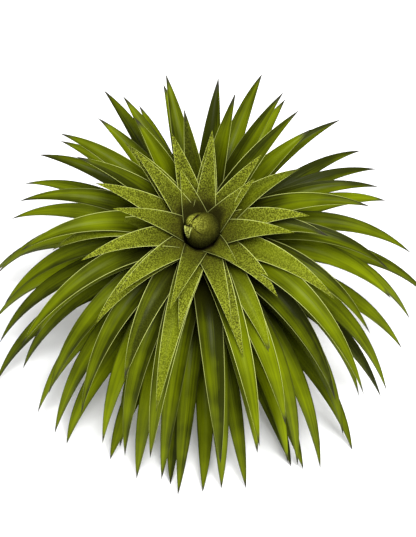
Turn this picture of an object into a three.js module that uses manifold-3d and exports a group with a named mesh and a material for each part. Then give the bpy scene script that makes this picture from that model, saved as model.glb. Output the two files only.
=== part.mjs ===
// An air plant: a stemmed, ball-shaped Tillandsia that stands by itself on a level surface.
// Millimetres and degrees, +Z up. The origin is the middle of the foot, on the surface.
// The crown leans towards -Y, and the tips of the hanging old leaves stand on the surface.
import * as THREE from 'three';
import { mergeVertices } from 'three/addons/utils/BufferGeometryUtils.js';
import Module from 'manifold-3d';

const wasm = await Module();
wasm.setup();

// ---- Driving dimensions ----

// The tip of the bud, above the surface and in front of the foot, and the lean of the leafy stem.
const crownHeight = 66;
const crownForward = 21;
const crownLean = 25;
const leafyLength = 40;

// The leaves stand in one spiral, from the youngest at the crown to the oldest at the bottom.
const leafCount = 108;
const goldenAngle = 137.50776;
const firstAzimuth = 341;

// Each curve has its value for the youngest leaf and for the oldest one, and a bow between them.
// The rise is the angle above the plane square to the stem. The droop is the bend over the length.
const leafLength = { young: 18.4, old: 70, bow: 10 };
const leafRise = { young: 45, old: 23, bow: 28 };
const leafDroop = { young: 0.2, old: 2, bow: 2.36 };
const leafWidth = { young: 6.6, old: 6, bow: 0.6 };
const rootRadius = { young: 5.7, old: 6.2, bow: 0 };
const rootDepth = { young: 5.3, old: 5.3 + leafyLength, bow: -23 };

// The stem leans, so the leaves differ round it. On the low side the half-grown ones are longer and
// hang more, and on the high side the old ones are shorter and all of them are straighter.
const lowSideGrowth = 0.5;
const lowSideDroop = 0.8;
const highSideLoss = 0.32;
const highSideStiffness = 0.5;

// A blade's section is a channel with a keel under it. Its sheath widens where it clasps the stem.
const bladeThickness = 1.3;
const channelShare = 0.3;
const sheathShare = 0.25;
const taperPower = { young: 1.2, old: 2.6, bow: 2 };
const bladeSteps = 5;
const tipClearance = 0.05;

// How far single leaves stray from the spiral's rule, and where each of those draws starts.
const strayTurn = { reach: 5, start: 0.25 };
const strayRise = { reach: 6, start: 0.86 };
const strayLength = { reach: 0.1, start: 0.71 };
const strayDroop = { reach: 0.15, start: 0.7 };
const strayWidth = { reach: 0.08, start: 0.23 };

// The younger leaves, from the youngest on: how far each has turned from the spiral's place, in
// degrees, and how long it is for its age.
const youngLeaves = [
  { turn: -25, stretch: 0.7 },
  { turn: -10, stretch: 0.82 },
  { turn: 0, stretch: 1.25 },
  { turn: 10, stretch: 0.88 },
  { turn: 0, stretch: 1.05 },
  { turn: -20, stretch: 0.97 },
  { turn: 0, stretch: 1.08 },
  { turn: -10, stretch: 1.12 },
  { turn: -5, stretch: 0.9 },
  { turn: -5, stretch: 1.1 },
  { turn: -20, stretch: 0.86 },
  { turn: 0, stretch: 0.95 },
  { turn: 0, stretch: 1 },
  { turn: 0, stretch: 0.62 },
  { turn: -5, stretch: 1 },
  { turn: 12, stretch: 0.62 },
  { turn: -4, stretch: 0.9 },
  { turn: -9, stretch: 0.98 },
  { turn: 0, stretch: 0.77 },
  { turn: 8, stretch: 0.95 },
  { turn: 0, stretch: 0.92 },
  { turn: -5, stretch: 1 },
  { turn: -4, stretch: 0.95 },
  { turn: -12, stretch: 1.08 },
  { turn: 0, stretch: 0.85 },
  { turn: -7, stretch: 0.88 },
  { turn: -8, stretch: 0.75 },
  { turn: 5, stretch: 1 },
  { turn: -6, stretch: 0.84 },
  { turn: 0, stretch: 0.78 },
  { turn: -3, stretch: 1 },
  { turn: 8, stretch: 1.15 },
  { turn: -2, stretch: 1.12 },
  { turn: -4, stretch: 1.15 },
  { turn: 4, stretch: 1.15 },
];
const grownLeaf = { turn: 0, stretch: 1 };

// The woody stem inside the leaves, its bare lower part and the root crown that it ends in.
const coreRadius = { young: 6.9, old: 6.4, bow: 0 };
const coreTopDepth = 5;
const coreOverrun = 3;
const barkRadius = 4.2;
const rootCrownRadius = 5;
const rootCrownHeight = 4;
const stemSides = 12;
const stemSteps = 5;

// Dry sheaths of dead leaves clothe the bare part of the stem, in the same spiral.
const sheathCount = 18;
const sheathLength = 17;
const sheathWidth = 8;
const sheathRise = -50;
const sheathDroop = 0.3;
const sheathSteps = 4;
const sheathRows = { first: 0.09, last: 0.5 };
const sheathClearance = 2.4;

// Wiry holdfast roots creep from the foot over the surface.
const holdfastCount = 7;
const holdfastRadius = 0.75;
const holdfastReach = { shortest: 13, longest: 22 };
const holdfastSway = 2.5;
const rootSides = 7;
const rootSteps = 9;

// The bud is the youngest leaves, still rolled into one blunt knob of overlapping scales. Its middle
// is shifted to the side of the axis and to the rear of it.
const budRadius = 4.6;
const budHeight = 12;
const budShift = { side: 0.5, rear: 0.9 };
const budScales = 3;
const budRelief = 0.1;
const budTwist = 0.22;
const budSides = 30;
const budSteps = 10;
const socketSides = 18;
const socketSteps = 7;

// The clearance between neighbouring pieces.
const gap = 0.3;

// ---- Colours ----

const leafGreen = new THREE.MeshStandardMaterial({ color: 0x6d7a16, roughness: 0.5, metalness: 0 });
const budOlive = new THREE.MeshStandardMaterial({ color: 0x6a6a22, roughness: 0.6, metalness: 0 });
const dryBrown = new THREE.MeshStandardMaterial({ color: 0x8a6f4d, roughness: 0.85, metalness: 0 });
const rootBrown = new THREE.MeshStandardMaterial({ color: 0x3f2c1e, roughness: 0.8, metalness: 0 });

// ---- Shared helpers ----

const degrees = THREE.MathUtils.degToRad;
const down = new THREE.Vector3(0, 0, -1);
const sideways = new THREE.Vector3(1, 0, 0);

function along(curve, age) {
  return curve.young + (curve.old - curve.young) * age + curve.bow * age * (1 - age);
}

// A repeatable draw between -1 and 1 for leaf number `index`.
function draw(index, start) {
  const turns = index * index * 0.6180339887 + index * 0.7548776662 + start;
  return 2 * (turns - Math.floor(turns)) - 1;
}

function stray(index, rule) {
  return rule.reach * draw(index, rule.start);
}

function moved(origin, ...steps) {
  const point = origin.clone();
  for (const [direction, distance] of steps) {
    point.addScaledVector(direction, distance);
  }
  return point;
}

// A direction that stands at an azimuth round an axis: 0 is +X and 90 degrees is away from -Y.
function around(axis, azimuth) {
  const rear = axis.clone().cross(sideways);
  return moved(new THREE.Vector3(), [sideways, Math.cos(azimuth)], [rear, Math.sin(azimuth)]);
}

function solidOf(geometry) {
  const bare = geometry.clone();
  bare.deleteAttribute('normal');
  bare.deleteAttribute('uv');
  const merged = mergeVertices(bare, 1e-4);
  return new wasm.Manifold(new wasm.Mesh({
    numProp: 3,
    vertProperties: new Float32Array(merged.attributes.position.array),
    triVerts: new Uint32Array(merged.index.array),
  }));
}

function geometryOf(solid) {
  const mesh = solid.getMesh();
  const geometry = new THREE.BufferGeometry();
  geometry.setAttribute('position', new THREE.BufferAttribute(mesh.vertProperties, 3));
  geometry.setIndex(new THREE.BufferAttribute(mesh.triVerts, 1));
  return geometry;
}

function joined(solids) {
  return solids.reduce((sum, solid) => sum.add(solid));
}

// The one outer skin of a solid: sealed hollows between leaves are filled and scraps dropped.
function outerSkin(solid) {
  return solid.decompose().reduce((best, part) => (part.volume() > best.volume() ? part : best));
}

function piece(name, solid, material) {
  const mesh = new THREE.Mesh(geometryOf(outerSkin(solid)), material);
  mesh.name = name;
  return mesh;
}

// Bends a round three.js solid with its axis along Y. `place` gets the share of the height, from 0
// at its bottom to 1 at its top, and the vertex's place across, in a section of radius 1.
function reshaped(geometry, place) {
  const points = geometry.attributes.position;
  const vertex = new THREE.Vector3();
  for (let i = 0; i < points.count; i += 1) {
    vertex.fromBufferAttribute(points, i);
    const { x, y, z } = place(THREE.MathUtils.clamp(vertex.y + 0.5, 0, 1), -vertex.x, vertex.z);
    points.setXYZ(i, x, y, z);
  }
  return solidOf(geometry);
}

// ---- The stem's line ----

const crown = new THREE.Vector3(0, -crownForward, crownHeight);
const leafyAxis = new THREE.Vector3(0, -Math.sin(degrees(crownLean)), Math.cos(degrees(crownLean)));
const coreBottomDepth = rootDepth.old + coreOverrun;
const uprightDepth = crownForward / Math.sin(degrees(crownLean));

// Below the leaves the stem curves from its lean to upright over the foot.
const bareLine = new THREE.QuadraticBezierCurve3(
  moved(crown, [leafyAxis, -coreBottomDepth]),
  moved(crown, [leafyAxis, -uprightDepth]),
  new THREE.Vector3(0, 0, 0),
);

// A round body along a curve, with its radius given by the share of the curve's length.
function roundAlong(curve, radiusAt, sides, steps, reference = sideways) {
  return reshaped(new THREE.CylinderGeometry(1, 1, 1, sides, steps), (share, x, z) => {
    const axis = curve.getTangentAt(share);
    const rear = axis.clone().cross(reference).normalize();
    const side = rear.clone().cross(axis);
    const radius = radiusAt(share);
    return moved(curve.getPointAt(share), [side, x * radius], [rear, z * radius]);
  });
}

// ---- One leaf ----

// Where leaf number `index` grows, how long it is and how it hangs.
function leafRule(index) {
  const age = index / (leafCount - 1);
  const { turn, stretch } = youngLeaves[index] ?? grownLeaf;
  const azimuth = degrees(firstAzimuth + goldenAngle * index + turn + stray(index, strayTurn));
  const rise = degrees(along(leafRise, age) + stray(index, strayRise));
  const outward = around(leafyAxis, azimuth);
  const halfGrown = 9.5 * age * (1 - age) ** 3;
  const lowSide = 0.5 - 0.5 * Math.sin(azimuth);
  const highSide = Math.max(Math.sin(azimuth), 0);
  const growth = (1 + lowSideGrowth * halfGrown * lowSide) * (1 - highSideLoss * age * highSide);
  const slack = (1 + lowSideDroop * halfGrown * lowSide) * (1 - highSideStiffness * highSide);
  return {
    across: around(leafyAxis, azimuth + Math.PI / 2),
    start: moved(new THREE.Vector3(), [outward, Math.cos(rise)], [leafyAxis, Math.sin(rise)]),
    root: moved(crown, [leafyAxis, -along(rootDepth, age)], [outward, along(rootRadius, age)]),
    length: along(leafLength, age) * stretch * growth * (1 + stray(index, strayLength)),
    droop: along(leafDroop, age) * slack * (1 + stray(index, strayDroop)),
    width: along(leafWidth, age) * (1 + stray(index, strayWidth)),
    taper: along(taperPower, age),
    clearance: tipClearance,
  };
}

// A midrib bends under its own weight: its direction turns towards the ground, and the less so the
// steeper it hangs. This returns the function that gives its place at a share of its length.
function hangingLine(leaf) {
  const level = moved(leaf.start, [down, -leaf.start.dot(down)]);
  const steepness = Math.atan2(level.length(), leaf.start.dot(down));
  const offset = -Math.log(Math.tan(steepness / 2));
  const turned = (share) => Math.atan(Math.tanh((leaf.droop * share + offset) / 2));
  const fallen = (share) => Math.log(Math.cosh(leaf.droop * share + offset));
  const outTo = (share) => (2 / leaf.droop) * (turned(share) - turned(0));
  const downTo = (share) => (fallen(share) - fallen(0)) / leaf.droop;
  // A leaf that would hang lower than its clearance above the surface is held up there.
  const room = leaf.root.z - leaf.clearance;
  const held = Math.min(1, room / Math.max(leaf.length * downTo(1), 1e-6));
  level.normalize();
  return (share) => moved(leaf.root,
    [level, leaf.length * outTo(share)], [down, leaf.length * held * downTo(share)]);
}

// A blade is a four-sided cone: its two margins, the floor of its channel and its keel.
function bladeSolid(leaf, steps) {
  const line = hangingLine(leaf);
  return reshaped(new THREE.ConeGeometry(1, 1, 4, steps), (share, x, z) => {
    const narrow = Math.max(1 - share, 1e-6);
    const isTip = share === 1;
    const acrossShare = isTip ? 0 : x / narrow;
    const upShare = isTip ? 0 : z / narrow;
    const tangent = line(Math.min(share + 0.02, 1)).sub(line(Math.max(share - 0.02, 0))).normalize();
    const side = moved(leaf.across, [tangent, -leaf.across.dot(tangent)]).normalize();
    const face = tangent.clone().cross(side);
    const blade = 1 - share ** leaf.taper;
    const halfWidth = 0.5 * leaf.width * blade * (1 + sheathShare * Math.exp(-9 * share));
    const lift = channelShare * halfWidth * Math.abs(acrossShare);
    const keel = bladeThickness * blade * Math.max(-upShare, 0);
    return moved(line(share), [side, halfWidth * acrossShare], [face, lift - keel]);
  });
}

// ---- The bud ----

// The knob stands a little beside the axis.
const budTip = moved(crown,
  [sideways, budShift.side], [around(leafyAxis, Math.PI / 2), budShift.rear]);

// The knob's outline over a share of its height: a narrow neck, a straight body and a blunt top.
function budBulge(share) {
  return Math.max(Math.min(0.6 + 0.9 * share, 1) * Math.sqrt(1 - share ** 7), 0.02);
}

function makeBud() {
  return reshaped(new THREE.CylinderGeometry(1, 1, 1, budSides, budSteps), (share, x, z) => {
    const azimuth = Math.atan2(z, x);
    const turns = budScales * (azimuth / (2 * Math.PI) + budTwist * share);
    const scale = 1 - budRelief * (1 - (turns - Math.floor(turns)));
    const reach = Math.hypot(x, z) * budRadius * scale * budBulge(share);
    return moved(budTip,
      [leafyAxis, budHeight * (share - 1)], [around(leafyAxis, azimuth), reach]);
  });
}

// The space that the bud stands in, the clearance wider than the bud.
function makeBudSocket() {
  return reshaped(new THREE.CylinderGeometry(1, 1, 1, socketSides, socketSteps), (share, x, z) => {
    const reach = Math.hypot(x, z) * (budRadius * budBulge(share) + gap);
    const depth = (budHeight + gap) * (1 - share) - gap * share;
    return moved(budTip, [leafyAxis, -depth], [around(leafyAxis, Math.atan2(z, x)), reach]);
  });
}

// ---- The pieces ----

function makeLeafyStem() {
  const coreLine = new THREE.LineCurve3(
    moved(crown, [leafyAxis, -coreBottomDepth + gap]),
    moved(crown, [leafyAxis, -coreTopDepth]),
  );
  const coreAt = (share) => along(coreRadius, 1 - share);
  const core = roundAlong(coreLine, coreAt, stemSides, stemSteps);
  const solids = [core];
  for (let index = 0; index < leafCount; index += 1) {
    solids.push(bladeSolid(leafRule(index), bladeSteps));
  }
  return joined(solids).subtract(makeBudSocket());
}

// A dry sheath is what is left of a dead leaf: short, broad and bent down along the stem.
function sheathRule(index) {
  const share = THREE.MathUtils.lerp(sheathRows.first, sheathRows.last, index / (sheathCount - 1));
  const axis = bareLine.getTangentAt(share).negate();
  const azimuth = degrees(firstAzimuth + goldenAngle * (leafCount + index));
  const rise = degrees(sheathRise + stray(index, strayRise));
  const outward = around(axis, azimuth);
  return {
    across: around(axis, azimuth + Math.PI / 2),
    start: moved(new THREE.Vector3(), [outward, Math.cos(rise)], [axis, Math.sin(rise)]),
    root: moved(bareLine.getPointAt(share), [outward, barkRadius - bladeThickness]),
    length: sheathLength * (1 + stray(index, strayLength)),
    droop: sheathDroop,
    width: sheathWidth * (1 + stray(index, strayWidth)),
    taper: taperPower.old,
    clearance: sheathClearance,
  };
}

function makeDryStem() {
  const barkLine = new THREE.QuadraticBezierCurve3(
    bareLine.v0, bareLine.v1, new THREE.Vector3(0, 0, rootCrownHeight + gap));
  const solids = [roundAlong(barkLine, () => barkRadius, stemSides, stemSteps)];
  for (let index = 0; index < sheathCount; index += 1) {
    solids.push(bladeSolid(sheathRule(index), sheathSteps));
  }
  return joined(solids);
}

// A root starts inside the root crown, comes down to the surface and creeps along it.
function holdfastLine(index) {
  const azimuth = 2 * Math.PI * (index / holdfastCount) + 0.35 * draw(index, strayTurn.start);
  const reach = THREE.MathUtils.mapLinear(
    draw(index, strayLength.start), -1, 1, holdfastReach.shortest, holdfastReach.longest);
  const outward = new THREE.Vector3(Math.cos(azimuth), Math.sin(azimuth), 0);
  const aside = new THREE.Vector3(-Math.sin(azimuth), Math.cos(azimuth), 0);
  const inside = rootCrownRadius - 2;
  const spots = [0, 0.3, 0.65, 1].map((share) => {
    const sway = holdfastSway * Math.sin(2 * Math.PI * (share + index / 3)) * share;
    const height = THREE.MathUtils.lerp(rootCrownHeight / 2, holdfastRadius, Math.min(share / 0.3, 1));
    return moved(new THREE.Vector3(0, 0, height),
      [outward, THREE.MathUtils.lerp(inside, reach, share)], [aside, sway]);
  });
  return new THREE.CatmullRomCurve3(spots);
}

function makeHoldfastRoots() {
  const crownOfRoots = new THREE.CylinderGeometry(
    barkRadius, rootCrownRadius, rootCrownHeight, stemSides);
  crownOfRoots.rotateX(Math.PI / 2);
  crownOfRoots.translate(0, 0, rootCrownHeight / 2);
  const solids = [solidOf(crownOfRoots)];
  const up = new THREE.Vector3(0, 0, 1);
  const radiusAt = (share) => holdfastRadius * (1 - 0.6 * share);
  for (let index = 0; index < holdfastCount; index += 1) {
    solids.push(roundAlong(holdfastLine(index), radiusAt, rootSides, rootSteps, up));
  }
  return joined(solids);
}

const plant = new THREE.Group();
plant.add(piece('leafy_stem', makeLeafyStem(), leafGreen));
plant.add(piece('bud', makeBud(), budOlive));
plant.add(piece('dry_stem', makeDryStem(), dryBrown));
plant.add(piece('holdfast_roots', makeHoldfastRoots(), rootBrown));

export default plant;
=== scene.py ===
"""A stemmed, ball-shaped air plant that stands by itself, dressed leaf by leaf for a picture.

Every size is in metres and every angle in radians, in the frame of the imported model: +Z is up, the
origin is the middle of the foot, and the crown leans towards -Y. The leaves, the dry sheaths, the
bare stem and the roots are Geometry Nodes trees with named inputs. The bud, the stem's core and the
root crown are built in mesh code.
"""
import math
from types import SimpleNamespace

import bmesh
import bpy
from mathutils import Matrix, Vector


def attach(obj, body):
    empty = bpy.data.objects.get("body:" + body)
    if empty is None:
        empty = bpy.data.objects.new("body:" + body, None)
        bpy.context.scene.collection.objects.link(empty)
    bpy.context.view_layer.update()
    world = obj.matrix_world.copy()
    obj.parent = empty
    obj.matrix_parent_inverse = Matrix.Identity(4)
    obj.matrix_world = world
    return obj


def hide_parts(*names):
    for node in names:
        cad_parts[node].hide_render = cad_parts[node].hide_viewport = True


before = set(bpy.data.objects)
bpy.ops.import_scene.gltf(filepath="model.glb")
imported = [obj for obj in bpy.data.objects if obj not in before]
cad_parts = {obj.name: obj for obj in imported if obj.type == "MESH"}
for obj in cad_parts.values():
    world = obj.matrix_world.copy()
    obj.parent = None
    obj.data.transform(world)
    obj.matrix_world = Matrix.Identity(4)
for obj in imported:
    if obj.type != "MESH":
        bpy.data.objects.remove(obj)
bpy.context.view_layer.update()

bl_info = {
    "name": "Air Plant",
    "version": (1, 0, 0),
    "blender": (4, 5, 0),
    "location": "3D View > Sidebar > Air Plant",
    "description": "Grows a stemmed, ball-shaped air plant and sets it in a plain studio",
    "category": "Object",
}

MM = 0.001
SIDEWAYS = (1.0, 0.0, 0.0)
UP = (0.0, 0.0, 1.0)
FULL_TURN = 2 * math.pi
GOLDEN_ANGLE = math.radians(137.50776)
FIRST_AZIMUTH = math.radians(341)
LEAF_COUNT = 108

# The bud's tip, and the way that the leafy stem leans up to it.
CROWN = Vector((0, -21, 66)) * MM
LEAN = math.radians(25)
LEAFY_AXIS = Vector((0, -math.sin(LEAN), math.cos(LEAN)))
LEAFY_REAR = LEAFY_AXIS.cross(Vector(SIDEWAYS))

# The bare stem curves from the foot of the leafy part to upright over the origin.
LEAFY_DEPTH = 48.3 * MM
LEAFY_FOOT = CROWN - LEAFY_AXIS * LEAFY_DEPTH
UPRIGHT_POINT = CROWN - LEAFY_AXIS * (21 / math.sin(LEAN)) * MM
STEM_END = 4.3 * MM

# The scars of dead leaves ring it in a wave: how many radians of it go to a metre of height.
SCAR_WAVE = 2600

# The younger leaves, from the youngest on: how far each has turned from the spiral's place, in
# degrees, and how long it is for its age. The last pair is that of every older leaf.
YOUNG_LEAVES = [
    (-25, 0.7), (-10, 0.82), (0, 1.25), (10, 0.88), (0, 1.05), (-20, 0.97), (0, 1.08),
    (-10, 1.12), (-5, 0.9), (-5, 1.1), (-20, 0.86), (0, 0.95), (0, 1), (0, 0.62), (-5, 1),
    (12, 0.62), (-4, 0.9), (-9, 0.98), (0, 0.77), (8, 0.95), (0, 0.92), (-5, 1), (-4, 0.95),
    (-12, 1.08), (0, 0.85), (-7, 0.88), (-8, 0.75), (5, 1), (-6, 0.84), (0, 0.78), (-3, 1),
    (8, 1.15), (-2, 1.12), (-4, 1.15), (4, 1.15), (0, 1),
]

# The repeatable draws step by two numbers that share no rhythm. For each way in which single leaves
# and roots stray from the rule there is how far they do so, and where its draws start.
SQUARE_STEP = 0.6180339887
PLAIN_STEP = 0.7548776662
STRAY_TURN = (math.radians(5), 0.25)
STRAY_RISE = (math.radians(6), 0.86)
STRAY_LENGTH = (0.1, 0.71)
STRAY_DROOP = (0.15, 0.7)
STRAY_WIDTH = (0.08, 0.23)
STRAY_SHADE = (1.0, 0.37)
STRAY_TWIST = (1.0, 0.41)
STRAY_SWAY = (1.0, 0.07)
STRAY_ROOT_TURN = (0.35, 0.25)
STRAY_ROOT_REACH = (0.5, 0.71)

# The lowest that a leaf lies above the surface, and a dry sheath, which clears the roots.
TIP_CLEARANCE = 0.05 * MM
SHEATH_CLEARANCE = 2.4 * MM

# The knob's corners seen from its tip: how many degrees round it each lies, and how far it reaches
# past a round knob, as a share of the radius.
KNOB_CORNERS = [(148, 0.17), (103, 0.06), (58, 0.13), (221, 0.1), (312, -0.12)]
CORNER_SPREAD = 26

# The knob's rolled leaves, each from its own seam to the next: how many degrees round the knob the
# seam lies at the tip and lower down, how many millimetres the leaf stands proud, and its tint.
ROLLED_LEAVES = [(-122, -70, 0.35, 0.3), (90, 90, 0.5, 0.75), (196, 192, -0.15, 0)]

# The start, the middle and the end of the loose leaf tip, in millimetres from the bud's tip.
LOOSE_TIP = [(-2.95, 0.75, -0.5), (-3.5, -0.6, -0.6), (-3.15, -1.85, -3.2)]

# How close the points of a form have to be to merge.
MERGE_DISTANCE = 0.004 * MM

# How little light the matt skins reflect straight back, and how high the scales stand.
MATT = 0.05
SCALE_RELIEF = 0.16 * MM


# ---- Node trees as Python expressions ----


class Flow:
    """One value in a node tree. Python's operators on it add Math or Vector Math nodes."""

    def __init__(self, graph, socket):
        self.graph = graph
        self.socket = socket

    def __add__(self, other):
        return self.graph.worked("ADD", self, other)

    def __radd__(self, other):
        return self.graph.worked("ADD", other, self)

    def __sub__(self, other):
        return self.graph.worked("SUBTRACT", self, other)

    def __rsub__(self, other):
        return self.graph.worked("SUBTRACT", other, self)

    def __mul__(self, other):
        return self.graph.worked("MULTIPLY", self, other)

    def __rmul__(self, other):
        return self.graph.worked("MULTIPLY", other, self)

    def __truediv__(self, other):
        return self.graph.worked("DIVIDE", self, other)

    def __rtruediv__(self, other):
        return self.graph.worked("DIVIDE", other, self)

    def __pow__(self, other):
        return self.graph.worked("POWER", self, other)

    def __rpow__(self, other):
        return self.graph.worked("POWER", other, self)

    def __neg__(self):
        return self * -1

    def by(self, operation, *others):
        """What a Math node of this operation makes of the value, and of others if it takes more."""
        return self.graph.math(operation, self, *others)

    def parts(self):
        """The three numbers of a vector."""
        x = self.graph.add("ShaderNodeSeparateXYZ", sockets={"Vector": self})
        return x, x.twin("Y"), x.twin("Z")

    def twin(self, name):
        """Another output of the node that this value comes from."""
        return Flow(self.graph, self.socket.node.outputs[name])

    def eased(self, start, end):
        """Goes smoothly from 0 where the value is at the start to 1 where it is at the end."""
        sockets = {"Value": self, "From Min": start, "From Max": end}
        return self.graph.add("ShaderNodeMapRange", {"interpolation_type": "SMOOTHSTEP"}, sockets)


class Graph:
    """A node tree, and the one method that adds any node to it."""

    def __init__(self, tree):
        self.tree = tree

    def add(self, kind, settings=None, sockets=None):
        """Adds a node: its type, its settings, which are set first, and what its sockets take."""
        node = self.tree.nodes.new(kind)
        for name, value in (settings or {}).items():
            if name == "items":
                while len(node.index_switch_items) < value:
                    node.index_switch_items.new()
            else:
                setattr(node, name, value)
        for name, value in (sockets or {}).items():
            self.feed(self.socket_of(node, name), value)
        outputs = [socket for socket in node.outputs if socket.enabled]
        return Flow(self, outputs[0]) if outputs else node

    @staticmethod
    def socket_of(node, name):
        if isinstance(name, int):
            return node.inputs[name]
        return next(socket for socket in node.inputs if socket.enabled and socket.name == name)

    def feed(self, socket, value):
        """Links a flow to a socket, or sets its own value. A plain colour is made opaque."""
        if isinstance(value, Flow):
            self.tree.links.new(value.socket, socket)
        elif socket.type == "RGBA":
            socket.default_value = (*value, 1.0)
        else:
            socket.default_value = value

    def math(self, operation, *values):
        return self.add("ShaderNodeMath", {"operation": operation}, dict(enumerate(values)))

    def vector_math(self, operation, *values):
        names = ("Vector", "Scale") if operation == "SCALE" else range(len(values))
        return self.add("ShaderNodeVectorMath", {"operation": operation}, dict(zip(names, values)))

    def worked(self, operation, first, second):
        """One step of a sum. A number times a vector scales it, and two vectors go part by part."""
        wide = [self.is_wide(value) for value in (first, second)]
        if not any(wide):
            return self.math(operation, first, second)
        if all(wide):
            return self.vector_math(operation, first, second)
        vector, number = (first, second) if wide[0] else (second, first)
        return self.vector_math("SCALE", vector, number)

    @staticmethod
    def is_wide(value):
        """Whether a value is a vector, as a flow or as plain numbers."""
        if isinstance(value, Flow):
            return value.socket.type == "VECTOR"
        return not isinstance(value, (int, float))

    def vector(self, x, y, z):
        return self.add("ShaderNodeCombineXYZ", sockets={"X": x, "Y": y, "Z": z})

    def unit(self, vector):
        return self.vector_math("NORMALIZE", vector)

    def cross(self, first, second):
        return self.vector_math("CROSS_PRODUCT", first, second)

    def noise(self, vector, scale, detail=2.0, roughness=0.5):
        """Soft noise around a half, with this many lumps to a unit of the vector."""
        sockets = {"Vector": vector, "Scale": scale, "Detail": detail, "Roughness": roughness}
        return self.add("ShaderNodeTexNoise", sockets=sockets)


# ---- Geometry trees and the plain pieces that they make ----


def shown(name, data):
    """A new object in the scene."""
    piece = bpy.data.objects.new(name, data)
    bpy.context.scene.collection.objects.link(piece)
    return piece


def own_properties(group):
    """The properties that a group declares itself, in order."""
    return [prop for prop in group.bl_rna.properties if prop.identifier not in ("rna_type", "name")]


def sized_tree(name, sizes):
    """A geometry tree with one named input for each size, and those inputs as flows."""
    tree = bpy.data.node_groups.new(name, "GeometryNodeTree")
    tree.interface.new_socket("Geometry", in_out="OUTPUT", socket_type="NodeSocketGeometry")
    kinds = {"INT": "NodeSocketInt", "FLOAT": "NodeSocketFloat"}
    for prop in own_properties(sizes):
        kind = "NodeSocketVector" if prop.is_array else kinds[prop.type]
        tree.interface.new_socket(prop.name, in_out="INPUT", socket_type=kind)
    tree.interface.new_socket("Material", in_out="INPUT", socket_type="NodeSocketMaterial")
    graph = Graph(tree)
    entry = graph.add("NodeGroupInput")
    flows = {prop.identifier: entry.twin(prop.name) for prop in own_properties(sizes)}
    return graph, SimpleNamespace(material=entry.twin("Material"), **flows)


def close_tree(graph, geometry, material):
    """Ends a tree: instances made real, shaded smooth, and its material set."""
    real = graph.add("GeometryNodeRealizeInstances", sockets={"Geometry": geometry})
    smooth = graph.add("GeometryNodeSetShadeSmooth", sockets={"Geometry": real})
    sockets = {"Geometry": smooth, "Material": material}
    dressed = graph.add("GeometryNodeSetMaterial", sockets=sockets)
    graph.add("NodeGroupOutput", sockets={"Geometry": dressed})
    return graph.tree


def plain_piece(name, tree, sizes, material):
    """Runs a tree with the group's sizes and keeps what it makes as a plain mesh at the origin."""
    start = bpy.data.meshes.new(name + "_start")
    piece = shown(name, start)
    modifier = piece.modifiers.new(name, "NODES")
    modifier.node_group = tree
    inputs = [item for item in tree.interface.items_tree if item.in_out == "INPUT"]
    identifiers = {item.name: item.identifier for item in inputs}
    for prop in own_properties(sizes):
        value = getattr(sizes, prop.identifier)
        modifier[identifiers[prop.name]] = list(value) if prop.is_array else value
    modifier[identifiers["Material"]] = material
    depsgraph = bpy.context.evaluated_depsgraph_get()
    mesh = bpy.data.meshes.new_from_object(piece.evaluated_get(depsgraph))
    if not mesh.polygons:
        raise RuntimeError(f"the tree of {name} made no faces")
    mesh.name = name
    piece.modifiers.clear()
    piece.data = mesh
    bpy.data.meshes.remove(start)
    return piece


def tube_faces(sides, rows, closed_end=False):
    """The faces of a tube of points, ring by ring, closed at its start and if asked at its end."""
    faces = [tuple(range(sides))]
    for first in range(0, rows * sides, sides):
        for side in range(sides):
            after = (side + 1) % sides
            corners = (side, after, sides + after, sides + side)
            faces.append(tuple(first + corner for corner in corners))
    if closed_end:
        faces.append(tuple(range(rows * sides, (rows + 1) * sides)))
    return faces


def tube_mesh(sides, rows, spot, closed_end=False):
    """A tube's points, each from its share of the way along and its angle round, and its faces."""
    shares = [row / rows for row in range(rows + 1)]
    angles = [FULL_TURN * side / sides for side in range(sides)]
    points = [spot(share, angle) for share in shares for angle in angles]
    return points, tube_faces(sides, rows, closed_end)


def mesh_piece(name, material, points, faces, places=None):
    """A piece from points and faces, its doubles merged and its faces turned outwards.

    The places are three numbers for each point, which the bud's finish reads.
    """
    mesh = bpy.data.meshes.new(name)
    mesh.from_pydata(points, [], faces)
    if places:
        attribute = mesh.attributes.new("bud_place", "FLOAT_VECTOR", "POINT")
        attribute.data.foreach_set("vector", [part for place in places for part in place])
    shell = bmesh.new()
    shell.from_mesh(mesh)
    bmesh.ops.remove_doubles(shell, verts=shell.verts, dist=MERGE_DISTANCE)
    bmesh.ops.recalc_face_normals(shell, faces=shell.faces)
    shell.to_mesh(mesh)
    shell.free()
    mesh.shade_smooth()
    mesh.materials.append(material)
    return shown(name, mesh)


def settle(piece, slot, *nodes):
    """Rides a piece on the plant's one body in place of its CAD nodes. Its slot is not used."""
    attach(piece, "root")
    if nodes:
        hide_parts(*nodes)


# ---- The rule that a blade follows ----

# How fast the clasp at a blade's foot fades, and how much deeper its channel is at the tip.
CLASP_FADE = 9
CHANNEL_GAIN = 0.6


def at_age(curve, age):
    """A size at an age, from its young value, its old value and the bow between them."""
    young, old, bow = curve.parts()
    return young + (old - young) * age + bow * age * (1 - age)


def strays(index, seed):
    """Gives how far each leaf strays by a rule: repeatable draws to either side of it."""

    def stray(reach, start):
        turns = index * index * SQUARE_STEP + index * PLAIN_STEP + (start + seed)
        return reach * (2 * turns.by("FRACT") - 1)

    return stray


def round_direction(graph, axis, azimuth):
    """A direction square to an axis: azimuth 0 is +X, and a quarter turn is away from -Y."""
    rear = graph.cross(axis, SIDEWAYS)
    return azimuth.by("COSINE") * SIDEWAYS + azimuth.by("SINE") * rear


def leaf_directions(graph, axis, azimuth, rise):
    """A leaf's directions: straight out from the axis, across that, and the one it starts in."""
    outward = round_direction(graph, axis, azimuth)
    across = round_direction(graph, axis, azimuth + math.pi / 2)
    return outward, across, outward * rise.by("COSINE") + axis * rise.by("SINE")


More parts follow.
